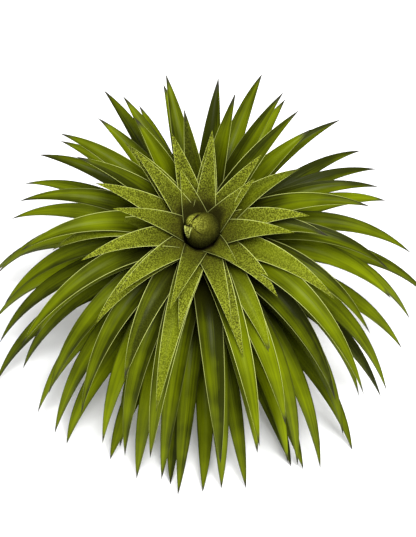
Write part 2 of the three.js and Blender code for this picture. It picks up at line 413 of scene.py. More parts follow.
def noted(graph, geometry, name, value, kind="FLOAT_VECTOR"):
    """The geometry with a named attribute on its points."""
    settings = {"data_type": kind, "domain": "POINT"}
    sockets = {"Geometry": geometry, "Name": name, "Value": value}
    return graph.add("GeometryNodeStoreNamedAttribute", settings, sockets)


def numbered_grids(graph, count, rows, section_points):
    """One flat grid for each blade or root, its index, and where each of its points lies.

    The row runs from 0 at the foot to 1 at the tip, and the ring from 0 to 1 round the section.
    """
    seats = graph.add("GeometryNodePoints", sockets={"Count": count})
    numbered = noted(graph, seats, "grid_index", graph.add("GeometryNodeInputIndex"), "FLOAT")
    grid = graph.add(
        "GeometryNodeMeshGrid",
        sockets={"Size X": 1.0, "Size Y": 1.0, "Vertices X": rows, "Vertices Y": section_points},
    )
    sockets = {"Points": numbered, "Instance": grid}
    grids = graph.add("GeometryNodeInstanceOnPoints", sockets=sockets)
    real = graph.add("GeometryNodeRealizeInstances", sockets={"Geometry": grids})
    x, y, _ = graph.add("GeometryNodeInputPosition").parts()
    index = graph.add(
        "GeometryNodeInputNamedAttribute", {"data_type": "FLOAT"}, {"Name": "grid_index"}
    )
    return real, index, x + 0.5, y + 0.5


def bent_grids(graph, grids, point, lowest):
    """The grids with their points moved, none under the lowest height, and doubles merged."""
    x, y, z = point.parts()
    place = graph.vector(x, y, z.by("MAXIMUM", lowest))
    moved = graph.add("GeometryNodeSetPosition", sockets={"Geometry": grids, "Position": place})
    sockets = {"Geometry": moved, "Distance": MERGE_DISTANCE}
    return graph.add("GeometryNodeMergeByDistance", sockets=sockets)


def hanging_line(graph, leaf, share):
    """Where a midrib that bends under its own weight is at a share of its length, and its heading.

    It turns towards the ground, and the less so the steeper it hangs. A leaf that would hang lower
    than its clearance above the surface is held up there.
    """
    start_x, start_y, start_z = leaf.start.parts()
    level_length = (start_x ** 2 + start_y ** 2).by("SQRT")
    level = graph.unit(graph.vector(start_x, start_y, 0.0))
    steepness = level_length.by("ARCTAN2", -start_z)
    offset = -(steepness / 2).by("TANGENT").by("LOGARITHM", math.e)

    def turned(bend):
        return (bend / 2).by("TANH").by("ARCTANGENT")

    def fallen(bend):
        return bend.by("COSH").by("LOGARITHM", math.e)

    bend = leaf.droop * share + offset
    out = 2 / leaf.droop * (turned(bend) - turned(offset))
    fall = (fallen(bend) - fallen(offset)) / leaf.droop
    whole_fall = (fallen(leaf.droop + offset) - fallen(offset)) / leaf.droop
    _, _, root_height = leaf.root.parts()
    room = root_height - leaf.clearance
    held = (room / (leaf.length * whole_fall).by("MAXIMUM", 0.001 * MM)).by("MINIMUM", 1.0)
    place = leaf.root + level * (leaf.length * out) - leaf.length * held * fall * UP
    heading = level * (1 / bend.by("COSH")) - held * bend.by("TANH") * UP
    return place, graph.unit(heading)


def hang_blades(graph, blades, leaf, section, row, ring, rows):
    """Bends the flat grids into closed blades: a channel above, a keel below, and a clasping foot.

    The first row is drawn together, so that the foot is closed, and the next ones are the sheath,
    which runs down the stem from the leaf's root.
    """
    last = rows - 1
    is_open = (row * last).by("MINIMUM", 1.0)
    run = ((row * last - 1) / (last - 1)).by("MAXIMUM", 0.0)
    eased_run = run * (1.25 - 0.25 * run)  # rows lie closer towards the tip
    share = (eased_run - section.foot_share) / (1 - section.foot_share)
    below = (-share).by("MAXIMUM", 0.0) * ((1 - section.foot_share) / section.foot_share)
    share = share.by("MAXIMUM", 0.0)

    place, tangent = hanging_line(graph, leaf, share)
    along = graph.vector_math("DOT_PRODUCT", leaf.across, tangent)
    side = graph.unit(leaf.across - tangent * along)
    face = graph.cross(tangent, side)
    turn = leaf.twist * share
    turned_side = side * turn.by("COSINE") + face * turn.by("SINE")
    turned_face = face * turn.by("COSINE") - side * turn.by("SINE")

    angle = ring * FULL_TURN
    across = -angle.by("COSINE")
    height = angle.by("SINE")
    blade = 1 - share ** leaf.taper
    clasp = section.sheath * leaf.age.by("SQRT") * (share * -CLASP_FADE).by("EXPONENT")
    half_width = 0.5 * leaf.width * blade * (1 + clasp) * is_open
    fold = ((across * across + section.crease ** 2).by("SQRT") - section.crease) * section.channel
    cup = fold * half_width * (1 + CHANNEL_GAIN * share)
    skin = height.by("MAXIMUM", 0.0) * section.edge * blade
    keel = (-height).by("MAXIMUM", 0.0) * section.thickness * blade
    lift = cup + (skin - keel) * is_open
    swayed = leaf.across * (leaf.sway * leaf.length * share * share)
    sheath_drop = leaf.axis * (below * section.foot_length)
    point = place + swayed - sheath_drop + turned_side * (half_width * across) + turned_face * lift

    placed = noted(graph, blades, "blade_place", graph.vector(across, share - below, height))
    own = noted(graph, placed, "leaf_own", graph.vector(leaf.age, leaf.shade, leaf.length))
    return bent_grids(graph, own, point, leaf.clearance)


# ---- Sizes and colours ----

LENGTH = {"unit": "LENGTH", "precision": 4}
ANGLE = {"scale": math.radians(1), "unit": "ROTATION"}


def number(name, about, default, **kind):
    return bpy.props.FloatProperty(name=name, description=about, default=default, **kind)


def numbers(name, about, default, **kind):
    return bpy.props.FloatVectorProperty(name=name, description=about, default=default, **kind)


def count(name, about, default):
    return bpy.props.IntProperty(name=name, description=about, default=default, min=1)


def length(name, about, millimetres):
    return number(name, about, millimetres * MM, **LENGTH)


def triple(name, about, young, old, bow=0.0, scale=1.0, **kind):
    """A size that changes with age."""
    values = (young * scale, old * scale, bow * scale)
    return numbers(name, about + ": young, old, and the bow between", values, **kind)


def length_triple(name, about, *values):
    return triple(name, about, *values, scale=MM, **LENGTH)


def linear(red, green, blue):
    """A colour as it looks on screen, 0 to 255, as the linear numbers that light works with."""
    shares = [part / 255 for part in (red, green, blue)]
    return [s / 12.92 if s <= 0.04045 else ((s + 0.055) / 1.055) ** 2.4 for s in shares]


def colour(name, about, *screen):
    return numbers(name, about, linear(*screen), subtype="COLOR", min=0.0, max=1.0)


class LeafSizes(bpy.types.PropertyGroup):
    """How the green leaves grow in their spiral."""

    leaves: count("Leaves", "How many leaves the spiral holds", LEAF_COUNT)
    rows: count("Rows", "Rows of points along a leaf", 27)
    section_points: count("Section points", "Points round a leaf's section", 17)
    leaf_length: length_triple("Leaf length", "Length of a leaf", 18.4, 70, 10)
    leaf_rise: triple("Leaf rise", "Rise above the plane square to the stem", 45, 23, 28, **ANGLE)
    leaf_droop: triple("Leaf droop", "Bend over a leaf's length", 0.2, 2, 2.36)
    leaf_width: length_triple("Leaf width", "Width of a leaf", 6.6, 6, 0.6)
    low_side_growth: number("Low side growth", "How much longer half-grown leaves are below", 0.5)
    low_side_droop: number("Low side droop", "How much more half-grown leaves hang below", 0.8)
    high_side_loss: number("High side loss", "How much shorter old leaves are above", 0.32)
    high_side_stiffness: number("High side stiffness", "How much straighter leaves are above", 0.5)
    # Painted shade: leaves on the high side are painted darker.
    high_side_shade: number("High side shade", "How much duller the leaves are above", 0.6)
    root_radius: length_triple("Root radius", "Where a leaf starts beside the axis", 4.5, 6.2)
    root_depth: length_triple("Root depth", "How far a leaf starts below the bud", 4.8, 45.3, -23)
    taper: triple("Taper", "Power of a leaf's taper", 1.2, 2.6, 2)
    thickness: length("Thickness", "Thickness of a leaf at its keel", 1.1)
    edge: length("Edge", "How far the upper skin bulges", 0.16)
    channel: number("Channel", "Slope of the channel's two sides", 0.42)
    crease: number("Crease", "Softness of the channel's crease", 0.14)
    sheath: number("Sheath", "How much wider a leaf is where it clasps the stem", 0.05)
    foot_share: number("Foot share", "Share of the rows that make the clasping foot", 0.09)
    foot_length: length("Foot length", "How far the clasping foot runs down the stem", 5.0)
    twist: number("Twist", "Most that a leaf twists along its length", 0.35)
    sway: number("Sway", "Most that a leaf bends to the side, as a share of its length", 0.035)
    seed: number("Seed", "Where the draws of the single leaves start", 0.0)


class BudSizes(bpy.types.PropertyGroup):
    """The knob of the youngest leaves, still rolled up."""

    radius: length("Bud radius", "Radius of the knob", 4.25)
    height: length("Bud height", "Height of the knob above its neck", 12.0)
    middle: numbers(
        "Bud middle", "Where the knob stands beside the axis: right and rear",
        (0.5 * MM, 0.9 * MM), size=2, **LENGTH,
    )
    lean: length("Tip offset", "How far the rolled tips meet beside the middle", 3.2)
    seam: length("Seam depth", "Depth of the seams between the rolled leaves", 1.1)


class StemSizes(bpy.types.PropertyGroup):
    """The stem inside the leaves, its bare foot, and the dry sheaths on that."""

    core_radius: length("Core radius", "Radius of the stem inside the leaves", 5.6)
    core_top: length("Core top", "Depth of the stem's end below the bud's tip", 7.5)
    bark_radius: length("Bark radius", "Radius of the bare stem", 4.2)
    ring_relief: length("Ring relief", "Height of the scars that dead leaves leave", 0.22)
    sheaths: count("Sheaths", "How many dry sheaths cling to the bare stem", 18)
    first_share: number("First sheath", "Where the first sheath grows along the bare stem", 0.06)
    last_share: number("Last sheath", "Where the last sheath grows along the bare stem", 0.5)
    sheath_length: length("Sheath length", "Length of a sheath", 17.0)
    sheath_width: length("Sheath width", "Width of a sheath", 8.0)
    seed: number("Seed", "Where the draws of the single sheaths start", 0.0)


class RootSizes(bpy.types.PropertyGroup):
    """The wiry roots that creep over the surface, and the crown that they start from."""

    roots: count("Roots", "How many roots there are", 7)
    root_radius: length("Root thickness", "Radius of a root where it starts", 0.75)
    shortest: length("Shortest root", "How far the shortest root reaches", 13.0)
    longest: length("Longest root", "How far the longest root reaches", 22.0)
    sway: length("Root sway", "How far a root winds to the sides", 2.5)
    crown_radius: length("Crown radius", "Radius of the root crown on the surface", 5.0)
    crown_height: length("Crown height", "Height of the root crown", 4.0)
    seed: number("Seed", "Where the draws of the single roots start", 0.0)


class PlantColours(bpy.types.PropertyGroup):
    """The colours of the plant's surfaces."""

    old_leaf: colour("Old leaf", "Satin green of the grown leaves", 112, 125, 1)
    # The darker edges of the grown leaves are painted shade. The darker fibres are the leaves' own.
    shaded_leaf: colour("Shaded leaf", "Darker fibres and edges of the grown leaves", 36, 41, 1)
    # Painted shade: laid over the leaves' feet, the gaps between young feet, the bud's lower side
    # and the stem's hollow.
    deep_leaf: colour("Deep leaf", "Dark olive of the leaves' feet", 24, 23, 3)
    young_leaf: colour("Young leaf", "Olive green of the young leaves", 80, 85, 4)
    young_shade: colour("Young shade", "Darker olive between the young leaves' scales", 38, 39, 2)
    scurf: colour("Scurf", "Silvery scales on the young leaves", 150, 160, 46)
    foot_flush: colour("Foot flush", "Olive brown where the young leaves start", 70, 64, 18)
    margin: colour("Margin", "Pale rim along the young leaves", 208, 216, 122)
    # Dark brown of the clasps, partly the leaf's own and partly painted shade. It is also the
    # painted shade in the bud's seams and the stem's hollow.
    clasp_brown_and_shade: colour("Young foot", "Dark brown where the leaves clasp the stem", 22, 16, 6)
    leaf_tip: colour("Leaf tip", "Dry grey brown of the needle tips", 44, 42, 34)
    bud: colour("Bud", "Olive of the rolled leaves", 66, 66, 10)
    bud_tip: colour("Bud tip", "Pale scurf where the rolled tips meet", 142, 146, 54)
    straw: colour("Dry straw", "Light brown of the dry sheaths", 158, 130, 90)
    bark: colour("Bark", "Dark brown of the bare stem", 82, 60, 38)
    root: colour("Root", "Dark brown of the wiry roots", 64, 46, 32)


class StudioSettings(bpy.types.PropertyGroup):
    """The floor, the lights and the camera."""

    floor: colour("Floor", "Plain pale floor", 250, 250, 250)
    distance: length("Camera distance", "From the bud's tip to the camera", 570.0)
    elevation: number(
        "Camera elevation", "How far the camera looks down", math.radians(50.2), unit="ROTATION"
    )
    key_power: number("Key power", "Power of the soft light above, in watts", 13.0)
    surround: number("Surround", "Strength of the white surroundings", 0.7)


# ---- Finishes ----


class Finish(Graph):
    """The tree of a material whose shader has a plain roughness and gloss, and no metal."""

    def __init__(self, name, roughness, gloss=0.5):
        self.material = bpy.data.materials.new(name)
        self.material.use_nodes = True
        super().__init__(self.material.node_tree)
        self.give("Roughness", roughness)
        self.give("Specular IOR Level", gloss)
        self.give("Metallic", 0.0)

    def give(self, name, value):
        """Feeds one of the shader's sockets."""
        self.feed(self.tree.nodes["Principled BSDF"].inputs[name], value)

    def attribute(self, name):
        """A vector attribute of the piece, as its three numbers."""
        node = self.add("ShaderNodeAttribute", {"attribute_name": name})
        return node.twin("Vector").parts()

    def object_place(self):
        return self.add("ShaderNodeTexCoord").twin("Object")

    def layered(self, base, *layers):
        """A colour with others laid over it, each by its share."""
        for share, layer in layers:
            sockets = {"Factor": share, "A": base, "B": layer}
            base = self.add("ShaderNodeMix", {"data_type": "RGBA"}, sockets)
        return base

    def made(self, base, height, relief):
        """The material, with this colour and with bumps that are at most this high."""
        bumps = self.add("ShaderNodeBump", sockets={"Height": height, "Distance": relief})
        self.give("Base Color", base)
        self.give("Normal", bumps)
        return self.material


def scurfy_leaf(colours):
    """Satin green on the old leaves, and on the young ones fine pale scales, with a pale margin.

    Each leaf's foot is painted dark olive brown as painted shade, grown leaves have a painted sheen
    and painted edge shade, and old leaves end in dry grey needles.
    """
    skin = Finish("scurfy_leaf", 0.5, MATT)
    across, along, upper = skin.attribute("blade_place")
    age, shade, leaf_length = skin.attribute("leaf_own")
    place = skin.object_place()
    _, rearward, _ = place.parts()
    youth = age.eased(0.29, 0.15)
    to_margin = across.by("ABSOLUTE")
    from_foot = along * leaf_length
    from_tip = leaf_length - from_foot

    fibre = skin.noise(skin.vector(across * 2.6 + shade * 31, along * 1.1, age * 53), 2.0)
    blotch = skin.noise(place, 110.0)
    scales = skin.noise(place, 2900.0, roughness=0.75)
    stipple = scales.eased(0.42, 0.62)

    # A painted highlight: a soft lengthwise sheen band on each leaf, set aside by its shade. The
    # shade holds the leaf's random tone and the high side's painted shade. The tone is also darker
    # towards the foot.
    sheen_band = 1 - (across - shade * 0.6).by("ABSOLUTE") * 0.9
    tone_and_sheen = 0.7 * fibre + 0.8 * blotch + 0.35 * sheen_band + 0.4 * along.eased(0.05, 0.55) - 0.9
    grown = skin.layered(
        colours.shaded_leaf,
        (tone_and_sheen + 0.32 * shade, colours.old_leaf),
        # Painted shade along the grown leaves' edges.
        (to_margin.eased(0.8, 1.0) * 0.6, colours.shaded_leaf),
    )
    scurfy = stipple * (0.2 + 0.45 * along.eased(0.05, 0.9) + 0.2 * to_margin.eased(0.45, 0.9))
    tender = skin.layered(
        colours.young_shade, (tone_and_sheen + 0.1 * shade, colours.young_leaf), (scurfy, colours.scurf)
    )
    blade = skin.layered(grown, (youth, tender))

    # The foot's painted shade reaches further up an older leaf. Young feet flush brown instead,
    # their own tint, laid deeper behind the bud as painted shade, and they carry painted shade at
    # their margins, where their neighbours overlap them, and where they meet the bud.
    foot_reach = 10 * MM + 18 * MM * age.eased(0.1, 0.35)
    foot = from_foot.eased(foot_reach, 1.0 * MM) * (0.7 + 0.3 * upper.eased(-0.3, 0.0))
    # Behind the bud the young feet get more painted shade.
    behind = rearward.eased(CROWN.y + 2 * MM, CROWN.y + 6 * MM)
    flush = foot * (0.4 + 0.3 * behind - 0.3 * stipple)
    # Painted shade at the young feet's margins, under their neighbours, and where they meet the bud.
    tucked_shade = to_margin.eased(0.5, 0.95) * from_foot.eased(11 * MM, 2 * MM)
    hidden_shade = from_foot / (1 + behind) - 1.5 * MM * behind
    tucked_shade = tucked_shade.by("MAXIMUM", hidden_shade.eased(2 * MM, 0.2 * MM))
    shaded_foot_blade = skin.layered(blade, (foot, colours.deep_leaf))
    flushed_and_shaded = skin.layered(blade, (flush, colours.foot_flush), (tucked_shade * 0.85, colours.deep_leaf))

    rim = to_margin.eased(0.935, 0.98) * upper.eased(-0.8, -0.3)
    rim = rim * age.eased(0.6, 0.25) * (1 - 0.7 * foot)
    needle = from_tip.eased(4.5 * MM, 1.5 * MM)
    base = skin.layered(
        shaded_foot_blade,
        (youth * age.eased(0.3, 0.2), flushed_and_shaded),
        (rim * 0.85, colours.margin),
        # The clasp below the leaf's root, dark brown partly as painted shade.
        (along.eased(0.0, -0.1), colours.clasp_brown_and_shade),
        (needle * (1 - youth) * 0.9, colours.leaf_tip),
    )
    skin.give("Roughness", 0.4 + 0.3 * youth)
    return skin.made(base, scales * (0.1 + 0.9 * youth) + fibre * 0.5, SCALE_RELIEF)


def rolled_leaf(colours):
    """The bud's olive, palest at the rolled tips, with fine scales. Painted shade darkens its seams,
    its lower side and the loose tip's foot.
    """
    skin = Finish("rolled_leaf", 0.85, MATT)
    edge, rise, tint = skin.attribute("bud_place")
    place = skin.object_place()
    blotch = skin.noise(place, 420.0).eased(0.35, 0.65)
    scales = skin.noise(place, 2600.0, roughness=0.75)
    flecks = scales.eased(0.42, 0.6)
    # Painted shade on the bud's lower side.
    lower = (rise + 0.3 * tint).eased(0.92, 0.25)
    pale = (rise + tint * 0.35).eased(0.65, 1.1)
    tongue = tint.eased(0.8, 0.9)
    lip = 0.2 * flecks + 0.5 * edge.eased(0.5, 0.95)
    # Painted shade in the seams, and at the loose tip's foot where it slips under the roll.
    seam = edge.eased(0.84, 0.94) * (1 - tongue) * rise.eased(0.5, 0.65)
    base = skin.layered(
        colours.bud,
        (blotch * 0.4, colours.young_shade),
        (lower * 0.9, colours.deep_leaf),
        (flecks * (0.1 + 0.75 * pale), colours.bud_tip),
        (lip * tongue, colours.margin),
        (seam.by("MAXIMUM", tongue * rise.eased(0.67, 0.64)), colours.clasp_brown_and_shade),
    )
    return skin.made(base, scales, SCALE_RELIEF)


def dark_hollow(colours):
    """The stem's skin between the leaves' feet: dark olive brown, painted as shade, since little
    light reaches it.
    """
    skin = Finish("dark_hollow", 0.9, MATT)
    grain = skin.noise(skin.object_place(), 700.0, 3.0, 0.6)
    base = skin.layered(colours.clasp_brown_and_shade, (grain.eased(0.4, 0.7), colours.deep_leaf))
    return skin.made(base, grain, 0.3 * MM)


def dry_straw(colours):
    """Papery straw brown with lengthwise fibres, darker stains and darker ends."""
    skin = Finish("dry_straw", 0.85)
    across, along, _ = skin.attribute("blade_place")
    age, shade, _ = skin.attribute("leaf_own")
    fibre_place = skin.vector(across * 9 + shade * 17, along * 1.5, age * 41)
    fibre = skin.noise(fibre_place, 3.0, 4.0, 0.65)
    stain = skin.noise(skin.object_place(), 260.0, 3.0)
    base = skin.layered(
        colours.bark,
        (fibre.eased(0.35, 0.68), colours.straw),
        (stain.eased(0.5, 0.75) * 0.7, colours.bark),
        (along.eased(0.72, 1.0) * 0.6, colours.root),
    )
    return skin.made(base, fibre, 0.25 * MM)


def ringed_bark(colours):
    """Dark bark with paler, weathered patches."""
    skin = Finish("ringed_bark", 0.9)
    place = skin.object_place()
    grain = skin.noise(place, 600.0, 4.0, 0.6)
    flakes = grain.eased(0.35, 0.7)
    patches = skin.noise(place, 150.0).eased(0.5, 0.72) * 0.6
    base = skin.layered(colours.root, (flakes, colours.bark), (patches, colours.straw))
    return skin.made(base, grain, 0.3 * MM)


def wiry_root(colours):
    """Dark brown with paler, rubbed patches."""
    skin = Finish("wiry_root", 0.8)
    place = skin.object_place()
    grain = skin.noise(place, 900.0, 4.0, 0.65)
    flakes = grain.eased(0.4, 0.7) * 0.6
    patches = skin.noise(place, 240.0).eased(0.55, 0.75) * 0.5
    base = skin.layered(colours.root, (flakes, colours.bark), (patches, colours.straw))
    return skin.made(base, grain, 0.2 * MM)


def pale_floor(settings):
    """Matt paper white with a hardly visible tooth."""
    paper = Finish("pale_floor", 0.9, 0.2)
    tooth = paper.noise(paper.object_place(), 90.0) * 0.04
    tooth_grey = (0.8, 0.8, 0.8)
    paper.give("Base Color", paper.layered(settings.floor, (tooth, tooth_grey)))
    return paper.material


# ---- The pieces ----


def leaf_tree(sizes):
    """The tree of the green leaves: each one's place and form from its index in the spiral."""
    graph, size = sized_tree("spiral_of_leaves", sizes)
    blades, index, row, ring = numbered_grids(graph, size.leaves, size.rows, size.section_points)
    stray = strays(index, size.seed)
    age = index / (size.leaves - 1)
    habits = {"Index": index.by("MINIMUM", len(YOUNG_LEAVES) - 1)}
    for item, (turn, stretch) in enumerate(YOUNG_LEAVES):
        habits[str(item)] = (math.radians(turn), stretch, 0.0)
    turn, stretch, _ = graph.add(
        "GeometryNodeIndexSwitch", {"data_type": "VECTOR", "items": len(YOUNG_LEAVES)}, habits
    ).parts()
    azimuth = FIRST_AZIMUTH + GOLDEN_ANGLE * index + turn + stray(*STRAY_TURN)
    rise = at_age(size.leaf_rise, age) + stray(*STRAY_RISE)
    axis = graph.vector(*LEAFY_AXIS)
    outward, across, start = leaf_directions(graph, axis, azimuth, rise)
    root_depth = axis * at_age(size.root_depth, age)
    rearward = azimuth.by("SINE")
    low_side = 0.5 - 0.5 * rearward
    high_side = rearward.by("MAXIMUM", 0.0)
    half_grown = 9.5 * age * (1 - age) ** 3  # about 1 where this bump is highest
    grown = 1 + size.low_side_growth * half_grown * low_side
    lost = 1 - size.high_side_loss * age * high_side
    slack = 1 + size.low_side_droop * half_grown * low_side
    slack = slack * (1 - size.high_side_stiffness * high_side)
    leaf = SimpleNamespace(
        axis=axis,
        age=age,
        # Each leaf's random tone, less painted shade on the high side.
        shade=stray(*STRAY_SHADE) - size.high_side_shade * high_side,
        across=across,
        start=start,
        root=graph.vector(*CROWN) - root_depth + outward * at_age(size.root_radius, age),
        length=at_age(size.leaf_length, age) * stretch * grown * lost * (1 + stray(*STRAY_LENGTH)),
        droop=at_age(size.leaf_droop, age) * slack * (1 + stray(*STRAY_DROOP)),
        width=at_age(size.leaf_width, age) * (1 + stray(*STRAY_WIDTH)),
        taper=at_age(size.taper, age),
        clearance=TIP_CLEARANCE,
        twist=size.twist * stray(*STRAY_TWIST) * age.by("SQRT"),
        sway=size.sway * stray(*STRAY_SWAY),
    )
    hung = hang_blades(graph, blades, leaf, size, row, ring, size.rows)
    return close_tree(graph, hung, size.material)


class AIRPLANT_OT_leaves(bpy.types.Operator):
    """Grow the green leaves round the leaning stem"""

    bl_idname = "air_plant.leaves"
    bl_label = "Grow Leaves"

    def execute(self, context):
        sizes = context.scene.air_plant_leaves
        skin = scurfy_leaf(context.scene.air_plant_colours)
        leaves = plain_piece("green_leaves", leaf_tree(sizes), sizes, skin)
        settle(leaves, "leaf", "leafy_stem")
        return {"FINISHED"}


def by_the_bud(x, y, z):
    """A point from the bud's tip: x to the photo's right, y to the rear and z up along the stem."""
    return CROWN + Vector(SIDEWAYS) * x + LEAFY_REAR * y + LEAFY_AXIS * z


def corner_bulge(azimuth):
    """How much further than round the knob reaches at this azimuth, as a share of its radius."""
    bulge = 0.0
    for middle, size in KNOB_CORNERS:
        away = (math.degrees(azimuth) - middle + 180) % 360 - 180
        bulge += size * math.exp(-(away / CORNER_SPREAD) ** 2)
    return bulge


def knob_point(sizes, azimuth, rise, proud):
    """A point of the knob: rise runs from neck to tip, and proud is how far it stands out."""
    swell = math.sin(rise * math.pi / 2) ** 0.4
    reach = sizes.radius * min(0.6 + 0.9 * swell, 1.0) * math.cos(rise * math.pi / 2)
    reach *= 1 + corner_bulge(azimuth)
    level = reach + proud * (1 - rise ** 3)
    x = sizes.middle[0] + level * math.cos(azimuth) - sizes.lean * rise ** 2
    y = sizes.middle[1] + level * math.sin(azimuth) + 0.12 * sizes.lean * rise ** 2
    return by_the_bud(x, y, sizes.height * (swell - 1) + proud * rise ** 3)


def knob_mesh(sizes):
    """The knob's points and faces, and each point's share to the seam, its rise and its tint."""
    first_top, first_low, _, _ = ROLLED_LEAVES[0]
    seams = ROLLED_LEAVES[1:] + [(first_top + 360, first_low + 360, 0, 0)]
    columns = []
    for (top, low, proud, tint), (next_top, next_low, _, _) in zip(ROLLED_LEAVES, seams):
        steps = round((next_top - top) / 6)  # a column of points to every six degrees
        for step in range(steps):
            share = 0.5 - 0.5 * math.cos(math.pi * (step + 0.5) / steps)
            ends = (top + (next_top - top) * share, low + (next_low - low) * share)
            columns.append((ends, proud * MM, abs(2 * share - 1), tint))
    rows = 30
    seam_start, seam_ease, seam_sharpness, crest_height = 0.48, 0.22, 14, 0.3 * MM
    points, places = [], []
    for row in range(rows + 1):
        rise = row / rows
        fade = min(1.0, max(0.0, (rise - seam_start) / seam_ease))
        near_middle = min(1.0, 6 * (1 - rise))
        turned = min(1.0, 2 * (1 - rise))
        for (top, low), proud, edge, tint in columns:
            groove = -sizes.seam * edge ** seam_sharpness * fade
            crest = crest_height * (1 - edge ** 2)
            azimuth = math.radians(top + (low - top) * turned)
            relief = (proud * fade + groove + crest) * near_middle
            points.append(knob_point(sizes, azimuth, rise, relief))
            places.append((edge, rise, tint))
    return points, tube_faces(len(columns), rows), places


def tongue_mesh(start, middle, end, half_width, thickness):
    """A small leaf tip along a curve of three points by the bud, its margins turned up."""
    rows, sides = 14, 12
    inside = by_the_bud(0, 0, -8 * MM)
    points, places = [], []
    for row in range(rows + 1):
        share = row / rows
        spot = start * (1 - share) ** 2 + middle * 2 * share * (1 - share) + end * share ** 2
        heading = ((middle - start) * (1 - share) + (end - middle) * share).normalized()
        side = heading.cross((spot - inside).normalized()).normalized()
        face = side.cross(heading)
        reach = half_width * (1 - share) ** 0.55 * min(1.0, 0.7 + 2 * share)
        shrink = min(1.0, 4 * (1 - share))
        for column in range(sides):
            angle = FULL_TURN * column / sides
            across = math.cos(angle)
            lift = 0.35 * reach * across ** 2 + 0.5 * thickness * math.sin(angle) * shrink
            points.append(spot + side * reach * across + face * lift)
            places.append((abs(across), 0.62 + 0.3 * share, 1.0))
    return points, tube_faces(sides, rows), places


class AIRPLANT_OT_bud(bpy.types.Operator):
    """Roll the youngest leaves into the blunt bud"""

    bl_idname = "air_plant.bud"
    bl_label = "Roll Bud"

    def execute(self, context):
        skin = rolled_leaf(context.scene.air_plant_colours)
        bud = mesh_piece("rolled_bud", skin, *knob_mesh(context.scene.air_plant_bud))
        settle(bud, "bud", "bud")
        spots = [by_the_bud(*(part * MM for part in spot)) for spot in LOOSE_TIP]
        tongue = tongue_mesh(*spots, half_width=1.25 * MM, thickness=0.3 * MM)
        tip = mesh_piece("rolled_bud_tip", skin, *tongue)
        settle(tip, "bud", "bud")
        return {"FINISHED"}


def stem_line(graph, end_height):
    """The bare stem's curve, from the leafy part's foot down to a height over the origin."""
    start, middle, end = LEAFY_FOOT, UPRIGHT_POINT, (0, 0, end_height)
    sockets = {"Resolution": 64, "Start": start, "Middle": middle, "End": end}
    return graph.add("GeometryNodeCurveQuadraticBezier", sockets=sockets)


def stem_tree(sizes):
    """The tree of the bare stem: a round body along its curve, ringed by old leaves' scars."""
    graph, size = sized_tree("bare_stem", sizes)
    line = stem_line(graph, STEM_END)
    ring = graph.add(
        "GeometryNodeCurvePrimitiveCircle", sockets={"Resolution": 28, "Radius": size.bark_radius}
    )
    tube = graph.add(
        "GeometryNodeCurveToMesh", sockets={"Curve": line, "Profile Curve": ring, "Fill Caps": True}
    )
    place = graph.add("GeometryNodeInputPosition")
    _, _, height = place.parts()
    lumps = graph.noise(place, 260.0, 3.0)
    scars = (height * SCAR_WAVE + lumps * 5).by("SINE")
    relief = size.ring_relief * (scars * 0.6 + (lumps - 0.5) * 2) - size.ring_relief
    offset = graph.add("GeometryNodeInputNormal") * relief
    rough = graph.add("GeometryNodeSetPosition", sockets={"Geometry": tube, "Offset": offset})
    return close_tree(graph, rough, size.material)


def sheath_tree(sizes):
    """The tree of the dry sheaths: short, broad leaf feet that bend down along the bare stem."""
    graph, size = sized_tree("dry_sheaths", sizes)
    rows = 14
    blades, index, row, ring = numbered_grids(graph, size.sheaths, rows, 13)
    stray = strays(index, size.seed)
    spread = index / (size.sheaths - 1)
    share = size.first_share + (size.last_share - size.first_share) * spread
    sockets = {"Curves": stem_line(graph, 0.0), "Factor": share}
    sample = graph.add("GeometryNodeSampleCurve", {"mode": "FACTOR"}, sockets)
    axis = -sample.twin("Tangent")
    azimuth = FIRST_AZIMUTH + GOLDEN_ANGLE * (index + LEAF_COUNT)
    rise = math.radians(-50) + stray(*STRAY_RISE)
    outward, across, start = leaf_directions(graph, axis, azimuth, rise)
    leaf = SimpleNamespace(
        axis=axis,
        age=spread,
        shade=stray(*STRAY_SHADE),
        across=across,
        start=start,
        root=sample.twin("Position") + outward * (size.bark_radius - 1.0 * MM),
        length=size.sheath_length * (1 + stray(*STRAY_LENGTH)),
        droop=0.3,
        width=size.sheath_width * (1 + stray(*STRAY_WIDTH)),
        taper=2.6,
        clearance=SHEATH_CLEARANCE,
        twist=0.5 * stray(*STRAY_TWIST),
        sway=0.05 * stray(*STRAY_SWAY),
    )
    section = SimpleNamespace(
        foot_share=0.12, foot_length=2.0 * MM, sheath=0.25, crease=0.3, channel=0.5,
        edge=0.2 * MM, thickness=0.45 * MM,
    )
    hung = hang_blades(graph, blades, leaf, section, row, ring, rows)
    return close_tree(graph, hung, size.material)


def core_mesh(sizes):
    """The leafy stem's own body: a round rod with a domed end just under the bud."""

    def spot(share, angle):
        quarter = share * math.pi / 2
        depth = LEAFY_DEPTH - (LEAFY_DEPTH - sizes.core_top) * math.sin(quarter)
        radius = sizes.core_radius * math.cos(quarter) ** 0.3
        return by_the_bud(radius * math.cos(angle), radius * math.sin(angle), -depth)

    return tube_mesh(28, 16, spot)


class AIRPLANT_OT_stem(bpy.types.Operator):
    """Make the stem: its leafy part, its bare foot, and the dry sheaths"""

    bl_idname = "air_plant.stem"
    bl_label = "Make Stem"

    def execute(self, context):
        sizes = context.scene.air_plant_stem
        colours = context.scene.air_plant_colours
        core = mesh_piece("leafy_stem_core", dark_hollow(colours), *core_mesh(sizes))
        settle(core, "leaf")
        stem = plain_piece("bare_stem", stem_tree(sizes), sizes, ringed_bark(colours))
        settle(stem, "dry_sheath", "dry_stem")
        sheaths = plain_piece("dry_sheaths", sheath_tree(sizes), sizes, dry_straw(colours))
        settle(sheaths, "dry_sheath", "dry_stem")
        return {"FINISHED"}


